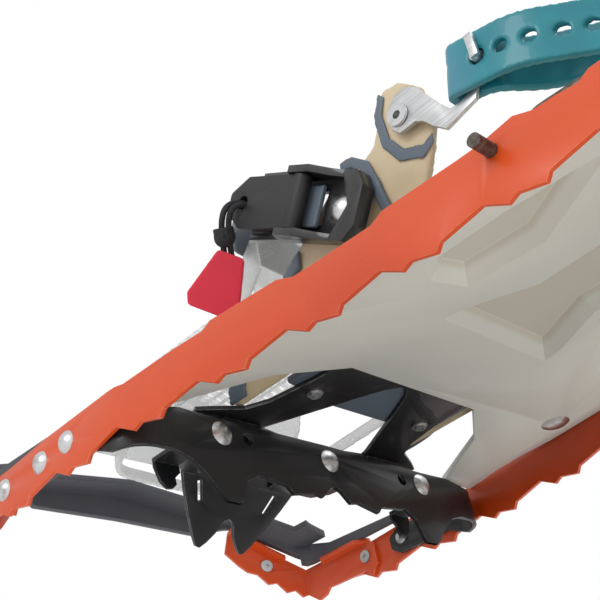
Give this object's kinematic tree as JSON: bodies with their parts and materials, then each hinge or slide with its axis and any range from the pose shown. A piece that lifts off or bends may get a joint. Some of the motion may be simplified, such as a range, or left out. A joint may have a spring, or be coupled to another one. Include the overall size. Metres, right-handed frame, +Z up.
{
  "type": "snowshoe",
  "caption": "Snowshoe with toothed side rails, moulded deck and a toe binding that pivots on a crossmember axle, with a ratchet instep strap and a hooked heel strap",
  "frame": {"origin": "bottom centre of the bounding box, on the ground under the crossmember claws", "axes": "+Y to the toe, +Z up, +X to the wearer's right"},
  "size_m": [0.2062, 0.559, 0.1269],
  "materials": {
    "rail_paint": "satin",
    "bumper_plastic": "matte",
    "deck_plastic": "satin",
    "black_steel": "satin",
    "rivet_steel": "satin",
    "dark_wire": "satin",
    "slate_tpu": "matte",
    "sand_tpu": "matte",
    "clear_tpu": "gloss",
    "buckle_plastic": "gloss",
    "cord": "matte",
    "pull_tab_rubber": "matte",
    "stainless": "satin",
    "teal_tpu": "satin"
  },
  "bodies": {
    "frame": {"rail_left": "rail_paint", "rail_right": "rail_paint", "nose_rail_left": "rail_paint", "nose_rail_right": "rail_paint", "nose_bumper": "bumper_plastic", "deck": "deck_plastic", "front_crossmember": "black_steel", "rear_crossmember": "black_steel", "rail_rivets": "rivet_steel", "rear_rivets": "rivet_steel", "deck_rivets": "rivet_steel", "nose_rivets": "rivet_steel", "crossmember_rivets": "rivet_steel", "axle": "dark_wire", "centre_clamp": "black_steel", "hook_bracket_left": "black_steel", "hook_bracket_right": "black_steel"},
    "binding": {"binding_plate": "black_steel", "toe_crampon": "black_steel", "eyelets": "rivet_steel", "crampon_rivets": "rivet_steel", "harness_sole": "slate_tpu", "wing_left": "sand_tpu", "wing_right": "sand_tpu", "wing_ribs": "slate_tpu", "wing_rivets": "rivet_steel", "toe_hoop": "clear_tpu", "forefoot_wrap": "clear_tpu", "ladder_strap": "slate_tpu", "ladder_rivet": "rivet_steel", "buckle_body": "buckle_plastic", "buckle_pin": "dark_wire", "buckle_rivet": "rivet_steel"},
    "lever": {"ratchet_lever": "buckle_plastic", "lanyard_upper": "cord", "lanyard_lower": "cord", "lanyard_knot": "cord", "pull_tab": "pull_tab_rubber"},
    "heel": {"strap_hook": "stainless", "strap_post": "stainless", "strap_anchor": "stainless", "anchor_rivet": "rivet_steel", "heel_strap": "teal_tpu"},
    "lifter": {"lifter_bail": "dark_wire", "lifter_sleeve": "bumper_plastic"}
  },
  "joints": [
    {"name": "binding_hinge", "type": "hinge", "parent": "frame", "child": "binding", "pos_m": [0, 0.1497, 0.0314], "axis": [-1, 0, 0], "range_deg": [0, 75]},
    {"name": "lever_hinge", "type": "hinge", "parent": "binding", "child": "lever", "pos_m": [-0.0744, 0.07174, 0.07552], "axis": [0, -0.5446, 0.8387], "range_deg": [0, 90]},
    {"name": "heel_strap_hinge", "type": "hinge", "parent": "binding", "child": "heel", "pos_m": [0, 0.0285, 0.0847], "axis": [-1, 0, 0], "range_deg": [0, 60]},
    {"name": "heel_lifter_hinge", "type": "hinge", "parent": "frame", "child": "lifter", "pos_m": [0, -0.0075, 0.0342], "axis": [-1, 0, 0], "range_deg": [0, 68]}
  ]
}
